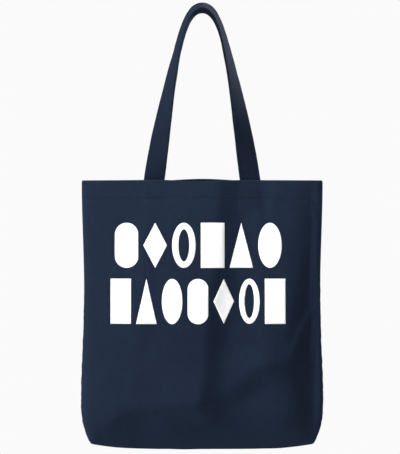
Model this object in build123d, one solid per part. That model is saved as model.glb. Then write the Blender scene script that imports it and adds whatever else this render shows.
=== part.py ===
"""A plain cotton tote bag that hangs by two long shoulder handles.

+Z is up, X runs across the bag and the front faces -Y. The origin is the
hanging point: the underside of the two handles where they come together at
the top. Lengths are in millimetres.

The bag is a front and a rear panel, sewn along the sides and the bottom, with
the lower corners boxed so that the base has some depth. Each panel has a
folded hem at the mouth, and a strap handle whose ends are sewn inside it.
"""
from build123d import *

import os
from bisect import bisect_left
from math import asin, cos, exp, pi, radians, sin, sqrt

# ---- the bag ----
BAG_WIDTH = 380.0  # side seam to side seam at the mouth
BAG_HEIGHT = 421.5  # mouth to bottom seam, at the middle
MOUTH_DEPTH = 22.0  # front to back at the mouth, as it hangs
BASE_DEPTH = 50.0  # front to back over the boxed base
BASE_SHARE = 0.9  # share of the height at which that depth is reached
WAIST = 0.02  # share of the width that the sides draw in half way down
CORNER_START = 0.84  # share of the height where the lower corners start to turn in
CORNER_PULL = 0.075  # share of the width lost at the boxed corners
CORNER_LIFT = 0.02  # share of the height by which the boxed corners sit higher
BASE_ROUNDING = 24  # the higher, the tighter the turn into the base
MOUTH_SQUARENESS = 3  # exponent of the section at the mouth, a lens
BASE_SQUARENESS = 9  # and at the base, nearly a box

# ---- the cloth ----
CANVAS = 0.8  # one layer of canvas
HEM_HEIGHT = 32.0
HEM_THICKNESS = 1.4  # the turned-in hem, two layers pressed
HEM_ENDS = 13.0  # the hem stops this far inside the bag's edge, at the seam allowance
LAYER_GAP = 0.05  # between sewn layers
PANEL_GAP = 0.5  # each panel's edge to the middle plane
EDGE_SHARE = 0.985  # share of the shell's quarter turn that a panel covers
NORMAL_REACH = 0.97  # past this share the shell's normal is held, as its edges turn too sharply
NORMAL_STEP = 0.004  # step over which that normal is measured
THREAD_WIDTH = 0.6
THREAD_HEIGHT = 0.25
HEM_STITCH_DOWN = 29.5  # mouth to the hem's row of stitching
INK = 0.12  # thickness of the print

# ---- the seams, inside the bag ----
SEAM_THICKNESS = 0.6
SEAM_ALLOWANCE = 9.0
SEAM_INSET = 0.3  # the allowance's outer edge to the bag's outline
SIDE_SEAM_SHARE = 0.9  # share of the height that the side seams run down
BOTTOM_SEAM_HALF = 160.0
CORNER_SEAM_INSET = 10.0  # corner seam to the bag's outline
CORNER_SEAM_HALF = 8.0
CORNER_SEAM_LIFT = 8.0  # corner seam to the bottom's outer face

# ---- the handles ----
STRAP_WIDTH = 32.0
STRAP_THICKNESS = 2.4
HANDLE_RISE = 278.5  # mouth to the top of the handles
CROWN_HEIGHT = 13.0  # upright height of the turned strap at the crown
HANDLE_SPREAD = 76.0  # middle of the bag to the middle of a sewn strap end
SEWN_LENGTH = 45.0  # strap inside the mouth
STRAP_START = 2.6  # the free strap starts this far above the mouth
ARCH_OPENING = 20.8  # the arch is a parabola, x squared over drop
CROWN_OPENING = 14.0  # added to that at the crown, which is rounder
CROWN_FADE = 30.0  # drop over which that fades out
STRAP_TWIST = 77.0  # degrees that a strap turns between the mouth and the crown
CROWN_RELAX = 9.0  # degrees of that twist given back at the crown
RELAX_FADE = 15.0  # drop over which that fades out
HANDLE_STITCH_INSET = 3.0  # handle stitching to strap edge
HANDLE_GAP = 0.7  # between the two handles' inner edges at the crown
HANDLE_SECTIONS = 49  # sections along a handle
BOX_STITCH_HALF = 12.0
BOX_STITCH_TOP = 3.5  # mouth to the stitched box
BOX_STITCH_BOTTOM = 27.0
STITCH_CLEARANCE = 1.0  # rows of the box stop this short of each other

# ---- the print: two rows of plain shapes on the front ----
SHAPE_HEIGHT = 70.0
SHAPE_GAP = 8.0  # between shapes in a row
TOP_ROW = (-6.0, -101.5, 6, 260.0)  # middle across, middle below the mouth, shapes, row's width
BOTTOM_ROW = (-6.5, -188.5, 7, 272.0)
RING_LINE = 0.27  # a ring's line, as a share of its width

MOUTH_Z = CROWN_HEIGHT - HANDLE_RISE
CROWN_MID = CROWN_HEIGHT / 2
STRAP_DROP = CROWN_MID - MOUTH_Z  # crown's middle to the mouth
STRAP_SET = CANVAS + HEM_THICKNESS + 2 * LAYER_GAP + STRAP_THICKNESS / 2  # panel face to strap middle

FRONT, REAR = -1, 1


# ---- the bag's outer shape ----
def half_width(down):
    """Half the bag's width at a share of its height below the mouth."""
    waist = 1 - WAIST * sin(pi * min(down / CORNER_START, 1)) ** 2
    turned = max(0.0, (down - CORNER_START) / (1 - CORNER_START))
    return BAG_WIDTH / 2 * waist * (1 - CORNER_PULL * turned**2)


def half_depth(down):
    """Half the bag's depth at the middle of the panel."""
    swell = sin(pi / 2 * min(down / BASE_SHARE, 1))
    depth = MOUTH_DEPTH + (BASE_DEPTH - MOUTH_DEPTH) * swell
    return depth / 2 * sqrt(max(0.0, 1 - down**BASE_ROUNDING))


def height(across, down):
    """The height of a point of the shell, from its shares across and down."""
    return MOUTH_Z - BAG_HEIGHT * down * (1 - CORNER_LIFT * across**4 * down**6)


def shell_point(side, u, w):
    """A point of a panel's outer face: u from -1 to 1 across, w from 0 at the mouth to 1 at the bottom."""
    across, down = sin(pi / 2 * u), sin(pi / 2 * w)
    squareness = MOUTH_SQUARENESS + (BASE_SQUARENESS - MOUTH_SQUARENESS) * down**3
    flank = sqrt(max(0.0, 1 - abs(across) ** squareness))
    return Vector(
        half_width(down) * across,
        side * (half_depth(down) * flank + PANEL_GAP),
        height(across, down),
    )


def inward(side, u, w):
    """The shell's unit normal towards the inside of the bag."""
    step = NORMAL_STEP
    u, w = max(-NORMAL_REACH, min(u, NORMAL_REACH)), max(step, min(w, NORMAL_REACH))
    along_u = shell_point(side, u + step, w) - shell_point(side, u - step, w)
    along_w = shell_point(side, u, w + step) - shell_point(side, u, w - step)
    return (along_u.cross(along_w) * -side).normalized()


def across_down(x, distance):
    """The shell's u and w at a place x across the bag and a distance below the mouth."""
    down = distance / BAG_HEIGHT
    return asin(x / half_width(down)) * 2 / pi, asin(down) * 2 / pi


# ---- layers of cloth ----
def thick(grid, thickness, towards):
    """A smooth face through a grid of points, thickened towards a direction."""
    face = Face.make_surface_from_array_of_points(grid, tol=0.01, min_deg=3, max_deg=3)
    return Solid.thicken(face, thickness, normal_override=towards)


def cloth(side, places, depth, thickness):
    """A layer over a grid of (u, w) places, its outer face a depth inside the panel's outer face."""
    grid = [[shell_point(side, *p) + inward(side, *p) * depth for p in row] for row in places]
    return thick(grid, thickness, (0, -side, 0))


def spread(first, last, count):
    """Evenly spaced values from first to last."""
    return [first + (last - first) * i / (count - 1) for i in range(count)]


def panel(side):
    places = [[(u, w) for w in spread(0, EDGE_SHARE, 26)] for u in spread(-EDGE_SHARE, EDGE_SHARE, 41)]
    return cloth(side, places, 0, CANVAS)


def band(side, xs, distances, depth, thickness, counts=(4, 4)):
    """A layer over a rectangle, given by its limits across and its distances below the mouth."""
    places = [[across_down(x, d) for d in spread(*distances, counts[1])] for x in spread(*xs, counts[0])]
    return cloth(side, places, depth, thickness)


def thread(side, start, end, count=4):
    """A row of stitching on the panel's outer face, between two (x, distance) places."""
    run = Vector(end[0] - start[0], end[1] - start[1], 0)
    half = run.normalized() * (THREAD_WIDTH / 2)
    places = []
    for share in spread(0, 1, count):
        x, distance = start[0] + run.X * share, start[1] + run.Y * share
        places.append([across_down(x - half.Y * e, distance + half.X * e) for e in (-1, -0.3, 0.3, 1)])
    return cloth(side, places, -LAYER_GAP - THREAD_HEIGHT, THREAD_HEIGHT)


def hem(side):
    reach = BAG_WIDTH / 2 - HEM_ENDS
    return band(side, (-reach, reach), (0, HEM_HEIGHT), CANVAS + LAYER_GAP, HEM_THICKNESS, (31, 5))


def hem_stitching(side):
    reach = BAG_WIDTH / 2 - HEM_ENDS
    return thread(side, (-reach, HEM_STITCH_DOWN), (reach, HEM_STITCH_DOWN), 31)


def handle_ends(side):
    """The two strap ends, sewn flat behind the hem."""
    depth, half = STRAP_SET - STRAP_THICKNESS / 2, STRAP_WIDTH / 2
    return [
        band(side, (x - half, x + half), (0, SEWN_LENGTH), depth, STRAP_THICKNESS, (6, 6))
        for x in (-HANDLE_SPREAD, HANDLE_SPREAD)
    ]


def box_stitching(side):
    """A stitched box with a cross in it, through each strap end."""
    rows = []
    half, top, bottom, gap = BOX_STITCH_HALF, BOX_STITCH_TOP, BOX_STITCH_BOTTOM, STITCH_CLEARANCE
    middle = (top + bottom) / 2
    for x in (-HANDLE_SPREAD, HANDLE_SPREAD):
        left, right = x - half, x + half
        rows += [
            thread(side, (left, top), (right, top)),
            thread(side, (left, bottom), (right, bottom)),
            thread(side, (left, top + gap), (left, bottom - gap)),
            thread(side, (right, top + gap), (right, bottom - gap)),
            thread(side, (left + gap, top + gap), (right - gap, bottom - gap)),
            thread(side, (left + gap, bottom - gap), (x - gap, middle + gap)),
            thread(side, (x + gap, middle - gap), (right - gap, top + gap)),
        ]
    return rows


# ---- seams ----
def strip(outline, thickness):
    """A flat strip in the middle plane, from its outline's (x, z) corners."""
    return extrude(Plane.XZ * make_face(Polyline(*outline, close=True)), thickness / 2, both=True)


def side_seam(hand):
    """The seam allowance along a side, hand -1 on the left and 1 on the right."""
    downs = spread(0.0, SIDE_SEAM_SHARE, 19)
    outer = [(hand * (half_width(d) - SEAM_INSET), height(1, d)) for d in downs]
    inner = [(hand * (half_width(d) - SEAM_ALLOWANCE), height(1, d)) for d in reversed(downs)]
    return strip(outer + inner, SEAM_THICKNESS)


def bottom_seam():
    """The seam allowance along the bottom, standing up inside the bag."""
    xs = spread(-BOTTOM_SEAM_HALF, BOTTOM_SEAM_HALF, 17)
    lower = [(x, height(x / half_width(1), 1) + SEAM_INSET) for x in xs]
    upper = [(x, z + SEAM_ALLOWANCE) for x, z in reversed(lower)]
    return strip(lower + upper, SEAM_THICKNESS)


def corner_seam(hand):
    """The seam across a boxed corner, front to back, standing up inside the bag."""
    x = hand * (half_width(1) - CORNER_SEAM_INSET)
    foot = height(x / half_width(1), 1) + CORNER_SEAM_LIFT
    body = Box(2 * CANVAS, 2 * CORNER_SEAM_HALF, SEAM_ALLOWANCE, align=(Align.CENTER, Align.CENTER, Align.MIN))
    return Pos(x, 0, foot) * body


# ---- handles ----
def strap_mid(side, q):
    """The middle line of a handle: q from -1 at the left of the mouth, 0 at the crown, to 1 at the right."""
    top = STRAP_DROP - STRAP_START
    drop = top * q * q
    x = q * sqrt(top * (ARCH_OPENING + CROWN_OPENING * exp(-drop / CROWN_FADE)))
    mouth_y = shell_point(side, across_down(HANDLE_SPREAD, 0)[0], 0).Y * side - STRAP_SET
    apart = mouth_y * drop / STRAP_DROP
    turn = twist(drop)
    reach = ((STRAP_WIDTH + HANDLE_GAP) * sin(turn) + STRAP_THICKNESS * cos(turn)) / 2
    y = sqrt(apart**2 + reach**2)
    return Vector(x, side * y, CROWN_MID - drop)


def twist(drop):
    """The strap's turn out of the panel's plane, from its drop below the crown."""
    rise = STRAP_DROP - drop
    turn = STRAP_TWIST * sin(pi / 2 * rise / STRAP_DROP) - CROWN_RELAX * exp(-drop / RELAX_FADE)
    return radians(turn)


def strap_frame(side, q):
    """The strap's middle point, the way across it to its inner edge, and its outer face's normal."""
    point, step = strap_mid(side, q), 0.002
    along = (strap_mid(side, q + step) - strap_mid(side, q - step)).normalized()
    inner = Vector(along.Z, 0, -along.X).normalized()
    turn = twist((STRAP_DROP - STRAP_START) * q * q)
    wide = inner * cos(turn) + Vector(0, side, 0) * sin(turn)
    wide = (wide - along * wide.dot(along)).normalized()
    return point, wide, wide.cross(along) * -side


def even_steps(side, count):
    """Values of q that are evenly spaced along a handle's length."""
    fine = spread(-1, 1, 801)
    points = [strap_mid(side, q) for q in fine]
    reached = [0.0]
    for before, after in zip(points, points[1:]):
        reached.append(reached[-1] + (after - before).length)
    wanted = spread(0, reached[-1], count)
    return [fine[min(bisect_left(reached, length), len(fine) - 1)] for length in wanted]


def ribbon(side, across, above, thickness):
    """A ribbon along a handle: limits across it, and the height of its outer face over the middle line."""
    first, last = across
    sections = []
    for q in even_steps(side, HANDLE_SECTIONS):
        point, wide, normal = strap_frame(side, q)
        top, bottom = normal * above, normal * (above - thickness)
        corners = [point + wide * e + n for e, n in ((last, top), (first, top), (first, bottom), (last, bottom))]
        sections.append(Wire.make_polygon(corners, close=True))
    return Solid.make_loft(sections)


def handle(side):
    half = STRAP_WIDTH / 2
    return ribbon(side, (-half, half), STRAP_THICKNESS / 2, STRAP_THICKNESS)


def handle_stitching(side):
    """A row of stitching along each edge of a handle, on its outer face."""
    row, half = STRAP_WIDTH / 2 - HANDLE_STITCH_INSET, THREAD_WIDTH / 2
    above = STRAP_THICKNESS / 2 + LAYER_GAP + THREAD_HEIGHT
    return [ribbon(side, (e - half, e + half), above, THREAD_HEIGHT) for e in (-row, row)]


# ---- the print ----
def pill(width):
    return RectangleRounded(width, SHAPE_HEIGHT, width / 2 - 0.01)


def oval(width):
    return Ellipse(width / 2, SHAPE_HEIGHT / 2)


def ring(width):
    line = width * RING_LINE
    return oval(width) - Ellipse(width / 2 - line, SHAPE_HEIGHT / 2 - line)


def diamond(width):
    half, tall = width / 2, SHAPE_HEIGHT / 2
    return make_face(Polyline((-half, 0), (0, -tall), (half, 0), (0, tall), close=True))


def block(width):
    return Rectangle(width, SHAPE_HEIGHT)


def peak(width):
    half, tall = width / 2, SHAPE_HEIGHT / 2
    return make_face(Polyline((-half, -tall), (half, -tall), (0, tall), close=True))


def printed_shapes():
    """The flat shapes of the print, each moved to its place in the front's plane."""
    kinds = [pill, diamond, ring, block, peak, oval]
    shapes, turn = [], 0
    for middle, below, count, wide in (TOP_ROW, BOTTOM_ROW):
        pitch = (wide + SHAPE_GAP) / count
        for i in range(count):
            x = middle + (i - (count - 1) / 2) * pitch
            kind = kinds[(i + turn) % len(kinds)]
            shapes.append(Pos(x, MOUTH_Z + below, 0) * kind(pitch - SHAPE_GAP))
        turn += 3
    return shapes


def front_print():
    """The ink: each shape cut from a thin skin over the front panel."""
    reach, depth = BOTTOM_ROW[3] / 2 + 2 * SHAPE_GAP, -BOTTOM_ROW[1] + SHAPE_HEIGHT
    ink = band(FRONT, (-reach, reach), (HEM_HEIGHT + SHAPE_GAP, depth), -LAYER_GAP - INK, INK, (31, 21))
    cutters = [extrude(Plane.XZ * shape, BASE_DEPTH) for shape in printed_shapes()]
    return [solid for cutter in cutters for solid in (ink & cutter).solids()]


def write(name, solids):
    parts = solids if isinstance(solids, list) else [solids]
    shape = parts[0] if len(parts) == 1 else Compound(parts)
    export_step(shape, f"parts/{name}.step")


def main():
    os.makedirs("parts", exist_ok=True)
    for side, name in ((FRONT, "front"), (REAR, "rear")):
        write(f"{name}_panel", panel(side))
        write(f"{name}_hem", hem(side))
        write(f"{name}_hem_stitching", hem_stitching(side))
        write(f"{name}_handle_ends", handle_ends(side))
        write(f"{name}_handle_box_stitching", box_stitching(side))
        write(f"{name}_handle", handle(side))
        write(f"{name}_handle_edge_stitching", handle_stitching(side))
    for hand, name in ((-1, "left"), (1, "right")):
        write(f"{name}_side_seam", side_seam(hand))
        write(f"{name}_corner_seam", corner_seam(hand))
    write("bottom_seam", bottom_seam())
    write("front_print", front_print())


main()
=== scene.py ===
"""The looks of a navy cotton tote bag that hangs by its two handles.

The bag is one shell of cloth. It settles in a cloth simulation, is given its
folds, and is then split into its front and rear panels. Everything is in
metres, +Z up, with the front facing -Y and the origin at the hanging point.
"""

import bmesh
import bpy
import numpy as np
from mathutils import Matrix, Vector
from mathutils.bvhtree import BVHTree


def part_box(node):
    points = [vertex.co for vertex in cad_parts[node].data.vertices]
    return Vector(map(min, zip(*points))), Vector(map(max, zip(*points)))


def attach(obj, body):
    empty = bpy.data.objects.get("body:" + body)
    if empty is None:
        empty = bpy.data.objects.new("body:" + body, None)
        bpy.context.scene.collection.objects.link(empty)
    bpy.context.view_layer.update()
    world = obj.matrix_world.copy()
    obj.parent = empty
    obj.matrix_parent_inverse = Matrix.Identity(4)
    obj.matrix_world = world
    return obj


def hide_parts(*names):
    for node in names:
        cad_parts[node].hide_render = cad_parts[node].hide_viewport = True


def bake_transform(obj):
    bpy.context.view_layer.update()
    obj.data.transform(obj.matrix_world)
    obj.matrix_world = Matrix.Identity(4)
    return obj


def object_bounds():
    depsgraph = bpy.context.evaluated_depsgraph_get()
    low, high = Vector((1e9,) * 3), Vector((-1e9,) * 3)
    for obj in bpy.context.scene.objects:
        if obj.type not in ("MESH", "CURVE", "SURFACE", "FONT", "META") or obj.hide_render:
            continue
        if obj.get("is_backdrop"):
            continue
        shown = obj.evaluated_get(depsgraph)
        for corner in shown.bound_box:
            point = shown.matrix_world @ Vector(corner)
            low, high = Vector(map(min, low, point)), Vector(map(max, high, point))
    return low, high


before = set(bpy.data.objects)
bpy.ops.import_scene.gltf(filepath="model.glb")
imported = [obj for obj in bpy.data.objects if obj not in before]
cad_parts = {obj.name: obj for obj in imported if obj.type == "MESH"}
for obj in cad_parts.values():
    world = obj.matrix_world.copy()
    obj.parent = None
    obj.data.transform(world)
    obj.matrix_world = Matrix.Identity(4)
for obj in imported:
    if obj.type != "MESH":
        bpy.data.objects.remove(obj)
CAD_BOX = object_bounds()

MM = 0.001
FRONT, REAR = -1, 1

# ---- sizes taken from the frame ----
PANEL_LOW, PANEL_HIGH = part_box("front_panel")
HEM_LOW, HEM_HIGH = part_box("front_hem")
ENDS_LOW, ENDS_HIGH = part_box("front_handle_ends")
MOUTH_Z = PANEL_HIGH.z
BAG_HEIGHT = PANEL_HIGH.z - PANEL_LOW.z
BAG_WIDTH = PANEL_HIGH.x - PANEL_LOW.x
BASE_DEPTH = -2 * PANEL_LOW.y
HEM_HEIGHT = HEM_HIGH.z - HEM_LOW.z
SEWN_LENGTH = ENDS_HIGH.z - ENDS_LOW.z

# ---- the bag's shell, as the CAD panels have it ----
MOUTH_DEPTH = 23 * MM
BASE_SHARE = 0.9
WAIST = 0.02
CORNER_START = 0.84
CORNER_PULL = 0.075
CORNER_LIFT = 0.02
BASE_ROUNDING = 24
MOUTH_SQUARENESS, BASE_SQUARENESS = 3, 9

# ---- the cloth ----
COLUMNS, ROWS = 51, 60  # cells across and down each panel before smoothing
SHELL_SAMPLES = 400  # points along a line of the shell, from which even steps are measured
CANVAS = 0.8 * MM
HEM_THICKNESS = 2.2 * MM  # the panel and its turned-in hem together
HEM_STITCH_DOWN = 29.5 * MM
HEM_STITCH_END = 3 * MM  # the stitching stops this far short of the hem's ends
FRONT_SAG, REAR_LIFT = 2.0 * MM, 2.6 * MM  # of the mouth's edge, midway between the handles
SAG_HALF_WIDTH, SAG_FADE = 58 * MM, 40 * MM
SETTLE_FRAMES = 26
SETTLE_CAP = 7 * MM  # a point's movement in the simulation is cut to this
SETTLE_SHARE = 0.35  # the share of that movement which is kept
HEM_HOLD, SIDE_HOLD, BASE_HOLD, FREE_HOLD = 0.5, 0.5, 0.35, 0.06  # how firmly each is held meanwhile
SIDE_HOLD_START, SIDE_HOLD_END, BASE_HOLD_END = 4 * MM, 20 * MM, 30 * MM
SLACK, SLACK_LOSS = 0.012, 1.6  # the cloth's growth while it settles, and how fast a hold takes it away

# ---- waves and puckers: heights, widths and wavelengths ----
BROAD_WAVE, BROAD_LENGTH = 0.6 * MM, 110 * MM
CLOSE_WAVE, CLOSE_LENGTH = 0.05 * MM, 18 * MM
WAVE_AT_MOUTH, WAVE_GAIN = 0.35, 0.65  # the waves' share at the mouth, and what they gain below it
WAVE_GAIN_START, WAVE_GAIN_END = 15 * MM, 70 * MM
HEM_GROOVE, HEM_GROOVE_WIDTH = 0.45 * MM, 1.6 * MM
HEM_PUCKER, HEM_PUCKER_WIDTH, HEM_PUCKER_LENGTH = 0.22 * MM, 7 * MM, 13 * MM
SEAM_PUCKER, SEAM_PUCKER_WIDTH, SEAM_PUCKER_LENGTH = 0.4 * MM, 9 * MM, 15 * MM
STRAP_GROOVE, STRAP_GROOVE_WIDTH, STRAP_GROOVE_END = 0.2 * MM, 1.8 * MM, 6 * MM
SEAM_PINCH, SEAM_PINCH_WIDTH = 0.5 * MM, 1.0 * MM
OFF_SEAM_START, OFF_SEAM_END = 0.3 * MM, 2.5 * MM

# ---- where the hem's thickness ends, below it and beside the seams ----
HEM_STEP_ABOVE, HEM_STEP_BELOW = 0.5 * MM, 0.8 * MM
HEM_SIDE_START, HEM_SIDE_END = 3 * MM, 12 * MM

# ---- the seam allowances inside ----
SEAM_ALLOWANCE = 9 * MM
SEAM_STEP = 0.65 * MM  # between the points of a seam's line
SEAM_BODY = 1.2 * MM  # the side allowances start this far in from their seam
SEAM_TOP = 1.5 * MM  # and this far under the mouth
SEAM_LEAN, SEAM_LEAN_LENGTH = 1.2 * MM, 55 * MM
OVERLOCK_DEPTH, OVERLOCK_PITCH = 0.25 * MM, 2.6 * MM
CORNER_IN, CORNER_UP, CORNER_HALF = 12 * MM, 9 * MM, 8 * MM  # place and half length of a corner seam
CORNER_STEPS = 25
# (share of the allowance's width, half its thickness in mm) around its outline
ALLOWANCE_PROFILE = [
    (0.0, 0.55),
    (0.35, 0.6),
    (0.8, 0.62),
    (1.0, 0.75),
    (1.04, 0.0),
    (1.0, -0.75),
    (0.8, -0.62),
    (0.35, -0.6),
    (0.0, -0.55),
]

# ---- the folds ----
LEAST_DEPTH = 5.5 * MM  # folds press the cloth no nearer to the middle plane than this
FOLD_REACH = 35 * MM  # a fold fades out over about this much past each end of its line
FOLD_AT_MOUTH, FOLD_GAIN, FOLD_GAIN_END = 0.9, 0.1, 70 * MM  # a fold's share at the mouth and below
TURN_START, TURN_DEPTH = 66 * MM, 0.88  # where the panels start to turn under, and how far
TURN_UNEVEN, TURN_LENGTH, TURN_CURVE, TURN_SIDE_FADE = 15 * MM, 130 * MM, 1.6, 30 * MM
FOLD_SIDE_FADE, FOLD_BASE_FADE, FOLD_SEAM_FADE = 20 * MM, 28 * MM, 3 * MM  # folds fade out by the seams
IMPRINT = 0.3 * MM  # how far the strap ends raise the cloth over them
IMPRINT_INNER, IMPRINT_OUTER = 4.0 * MM, 24.0 * MM  # over which it fades: its inner edge is the sharper
IMPRINT_ABOVE, IMPRINT_BELOW = 6 * MM, 14 * MM  # and it fades from above the sewn end's end to below it

# ---- the handles ----
STRAP_WIDTH = 32 * MM
STRAP_THICKNESS = 2.4 * MM
HANDLE_SPREAD = 76 * MM
CROWN_MID = 6.5 * MM
STRAP_SET = 3.5 * MM  # panel face to strap middle, with the hem between
ARCH_OPENING = 20.8 * MM
CROWN_OPENING = 14 * MM
CROWN_FADE = 30 * MM
HANDLE_GAP = 0.7 * MM  # between the two handles' inner edges at the crown
STRAP_TWIST, CROWN_RELAX, RELAX_FADE = 77.0, 9.0, 15 * MM
STRAP_RECESS = 3.8 * MM  # how far the fold beside it pushes in the front strap's right end
STRAP_TILT = 5.0  # degrees by which that end turns away from the fold
RECESS_FADE, TILT_FADE = 150 * MM, 45 * MM  # heights over the mouth at which these fade out
STRAP_RIPPLE, RIPPLE_LENGTH = 0.5 * MM, 60 * MM
STRAP_DROP = CROWN_MID - MOUTH_Z
STRAP_STEPS = 340  # along a whole strap
ARCH_SAMPLES, TAIL_SAMPLES = 1201, 90  # points on its arch and on each sewn end before it is divided
RING_STEPS = 25  # points across each face of a strap

# ---- the stitches ----
HANDLE_ROW = 13 * MM  # rows of stitching to the strap's middle
ROW_END = 4  # strap steps without stitching at each end of a row
STITCH_PITCH = 3.4 * MM
STITCH_LENGTH = 2.7 * MM
THREAD_RADIUS = 0.24 * MM
STITCH_SIDES, STITCH_RINGS = 6, 6
CLOTH_ROW_STEP = 0.9 * MM  # between the points at which a row is laid on the cloth
BOX_HALF_WIDTH, BOX_TOP, BOX_BOTTOM = 12 * MM, 4.5 * MM, 27 * MM  # the last two under the mouth
RAY_START = 0.2  # rays that look for the cloth start this far out

# ---- the print ----
SHAPE_HEIGHT = 70 * MM
SHAPE_GAP = 8 * MM
PRINT_ROWS = ((-6.0, -101.5, 6, 260.0), (-6.5, -188.5, 7, 272.0))  # middle, height, count, width
SHAPE_KINDS = ["pill", "diamond", "ring", "block", "peak", "oval"]
ROW_SHIFT = 3  # the second row starts this many kinds further on
RING_LINE = 0.27  # a ring's line as a share of its width
PRINT_CELL = 3 * MM
INK = 0.12 * MM
INK_FILM = INK * 1.6

# ---- the colours ----
NAVY = (0.0092, 0.0160, 0.0325)
# the straps' colour is the canvas colour darkened by about a quarter: painted shade that holds back the
# light falling on the straps
SHADED_STRAP_NAVY = (0.0068, 0.0118, 0.0240)


# ---- small helpers ----
def smooth(x, low, high):
    """0 below low, 1 above high, and a smooth step between."""
    t = np.clip((x - low) / (high - low), 0, 1)
    return t * t * (3 - 2 * t)


def hump(x, width):
    """1 at x = 0, falling off smoothly over about the given width on each side."""
    return np.exp(-((x / width) ** 2))


def waves(x, z, length, seed, octaves=3):
    """Smooth uneven ripples of about the given wavelength, from -1 to 1."""
    chance = np.random.default_rng(seed)
    total, weight = np.zeros_like(x), 0.0
    for octave in range(octaves):
        for _ in range(6):
            turn, shift = chance.uniform(0, np.pi), chance.uniform(0, 2 * np.pi)
            pace = 2 * np.pi * 2**octave / (length * chance.uniform(0.75, 1.4))
            along = x * np.cos(turn) + z * np.sin(turn)
            total += np.sin(along * pace + shift) * 0.5**octave
        weight += 2.2 * 0.5**octave
    return total / weight


def new_object(name, points, faces, smooth_shading=True):
    mesh = bpy.data.meshes.new(name)
    mesh.from_pydata([tuple(p) for p in points], [], [tuple(f) for f in faces])
    mesh.validate()
    mesh.update()
    if smooth_shading:
        mesh.polygons.foreach_set("use_smooth", [True] * len(mesh.polygons))
    obj = bpy.data.objects.new(name, mesh)
    bpy.context.scene.collection.objects.link(obj)
    return obj


def points_of(mesh):
    out = np.empty(len(mesh.vertices) * 3)
    mesh.vertices.foreach_get("co", out)
    return out.reshape(-1, 3)


def lengths(points):
    """How far along a line of points (n, 3) each point lies."""
    return np.concatenate([[0], np.cumsum(np.linalg.norm(np.diff(points, axis=0), axis=1))])


def along_line(places, reached, rows):
    """Rows (n, 3) given at the distances reached, read off at other places."""
    return np.stack([np.interp(places, reached, rows[:, k]) for k in range(3)], axis=1)


def unit(rows):
    return rows / np.linalg.norm(rows, axis=1, keepdims=True)


def even(points, count):
    """Shares along a line of points (n, 3) at which count + 1 evenly spaced stations lie."""
    reached = lengths(points)
    shares = np.linspace(0, 1, len(points))
    return np.interp(np.linspace(0, reached[-1], count + 1), reached, shares), reached[-1]


# ---- the shell, by its share down from the mouth to the bottom seam ----
def half_width(down):
    waist = 1 - WAIST * np.sin(np.pi * np.minimum(down / CORNER_START, 1)) ** 2
    turned = np.maximum(0, (down - CORNER_START) / (1 - CORNER_START))
    return BAG_WIDTH / 2 * waist * (1 - CORNER_PULL * turned**2)


def half_depth(down):
    swell = np.sin(np.pi / 2 * np.minimum(down / BASE_SHARE, 1))
    depth = MOUTH_DEPTH + (BASE_DEPTH - MOUTH_DEPTH) * swell
    return depth / 2 * np.sqrt(np.maximum(0, 1 - down**BASE_ROUNDING))


def shell(side, u, w):
    """Points of a panel: u from -1 to 1 across, w from 0 at the mouth to 1 at the bottom seam."""
    across, down = np.sin(np.pi / 2 * u), np.sin(np.pi / 2 * w)
    squareness = MOUTH_SQUARENESS + (BASE_SQUARENESS - MOUTH_SQUARENESS) * down**3
    flank = np.sqrt(np.maximum(0, 1 - np.abs(across) ** squareness))
    lift = CORNER_LIFT * across**4 * down**6
    return np.stack(
        [
            half_width(down) * across,
            side * half_depth(down) * flank,
            MOUTH_Z - BAG_HEIGHT * down * (1 - lift),
        ],
        axis=-1,
    )


def panel_grid(side):
    """Rows of evenly spaced points down a panel, and the cloth's own coordinates at each."""
    w_fine = np.linspace(0, 1, SHELL_SAMPLES)
    u_fine = np.linspace(-1, 1, SHELL_SAMPLES)
    shares, long = even(shell(side, np.zeros(SHELL_SAMPLES), w_fine), ROWS)
    points, grain = [], []
    for row, w in enumerate(shares):
        across, wide = even(shell(side, u_fine, np.full(SHELL_SAMPLES, w)), COLUMNS)
        u = 2 * across - 1
        points.append(shell(side, u, np.full(len(u), w)))
        grain.append([((i / COLUMNS - 0.5) * wide, -row / ROWS * long) for i in range(COLUMNS + 1)])
    return np.array(points), np.array(grain)


# ---- folds, given by ridges and valleys that run down the panel ----
# (line of (x, z) in mm, height in mm, width of its left flank, of its right flank)
FRONT_FOLDS = [
    ([(22, -255), (22, -290), (14, -400), (2, -485), (-4, -564), (-12, -620)], 10.0, 110, 22),
    ([(69, -255), (69, -290), (62, -400), (50, -500), (38, -590)], -4.2, 22, 55),
    (
        [(186, -295), (168, -345), (146, -420), (130, -480), (124, -545), (130, -600), (142, -660)],
        5.5,
        60,
        24,
    ),
    ([(190, -295), (184, -360), (182, -430), (176, -520), (178, -600), (184, -665)], -9.0, 32, 14),
    ([(178, -460), (160, -490), (142, -532)], 3.6, 9, 13),
    ([(86, -550), (74, -559), (46, -580), (16, -600), (-14, -620)], 8.0, 80, 38),
    ([(112, -580), (76, -608), (32, -634)], -3.0, 26, 60),
    ([(-134, -628), (-158, -676)], 2.8, 24, 11),
]
REAR_FOLDS = [
    ([(-70, -262), (-60, -360), (-38, -470), (-20, -560)], 6.0, 16, 60),
    ([(-98, -262), (-90, -380), (-70, -500)], -5.5, 45, 16),
    ([(80, -262), (104, -380), (128, -500), (140, -600)], 6.5, 50, 17),
    ([(-180, -360), (-150, -450), (-140, -560), (-160, -650)], 6.0, 15, 60),
    ([(20, -540), (70, -590), (120, -640)], 6.0, 20, 45),
]


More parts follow.
